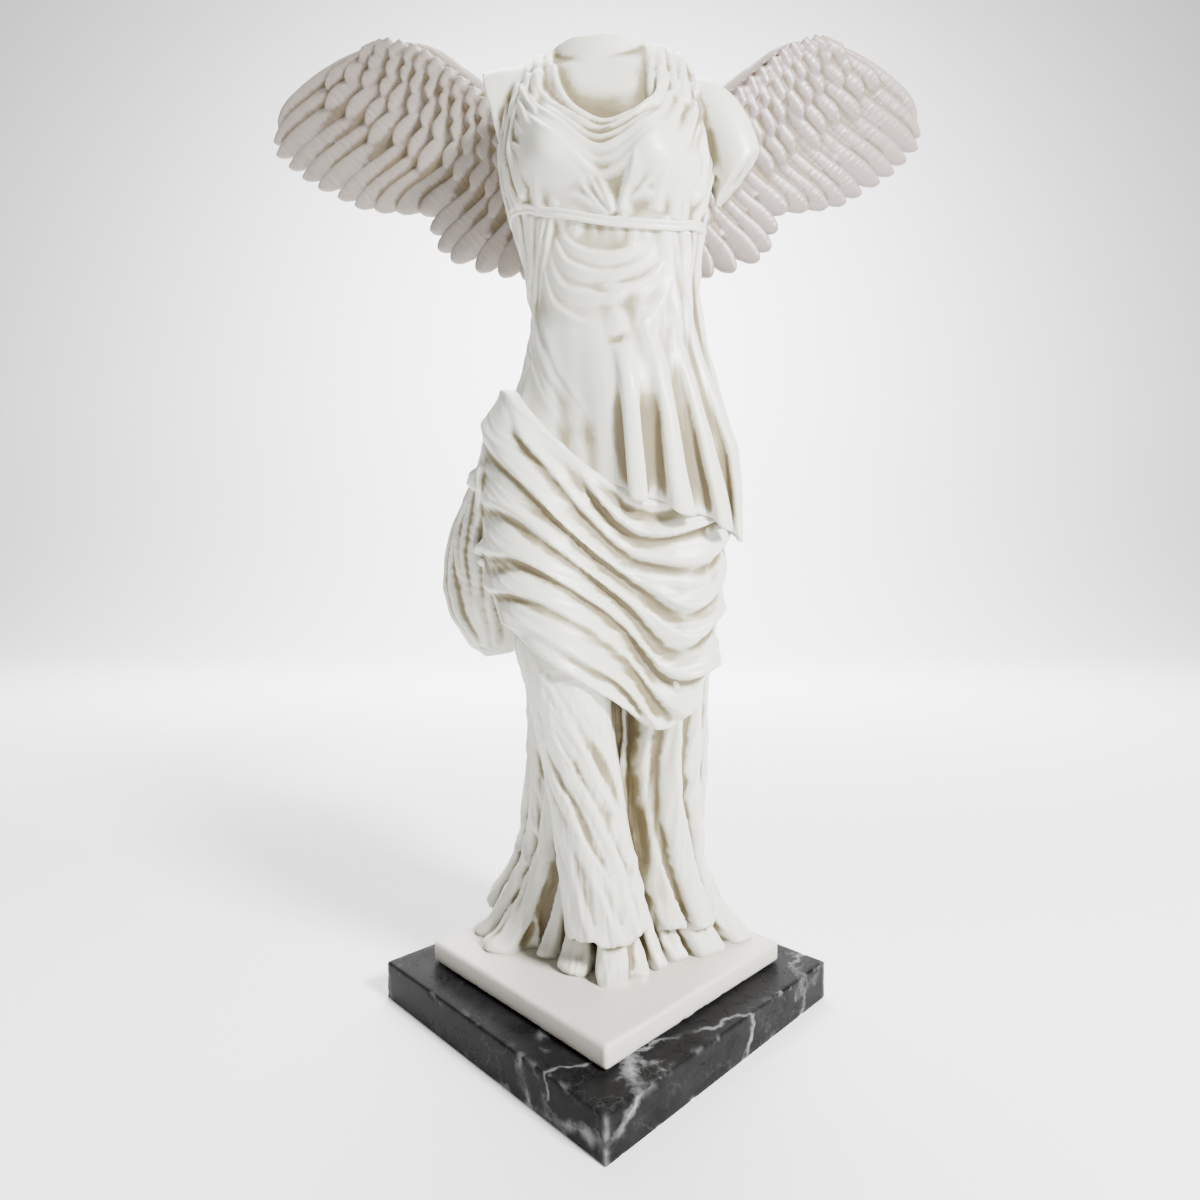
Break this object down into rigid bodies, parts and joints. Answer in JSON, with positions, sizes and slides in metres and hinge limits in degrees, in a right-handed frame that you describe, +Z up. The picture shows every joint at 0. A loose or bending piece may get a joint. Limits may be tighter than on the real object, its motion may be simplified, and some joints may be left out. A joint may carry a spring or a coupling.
{
  "type": "statuette",
  "caption": "Winged draped female figure without head or arms, cast in pale marble with its square slab, standing on a square block of black marble.",
  "frame": {"origin": "centre of the black base's underside", "axes": "+Z up, -Y the way the figure faces, with a corner of the base and of the slab towards -Y"},
  "size_m": [0.3154, 0.1692, 0.4053],
  "materials": {
    "cast_marble": "satin",
    "black_marble": "polished"
  },
  "bodies": {
    "root": {"winged_statue": "cast_marble", "black_marble_base": "black_marble"}
  },
  "joints": []
}
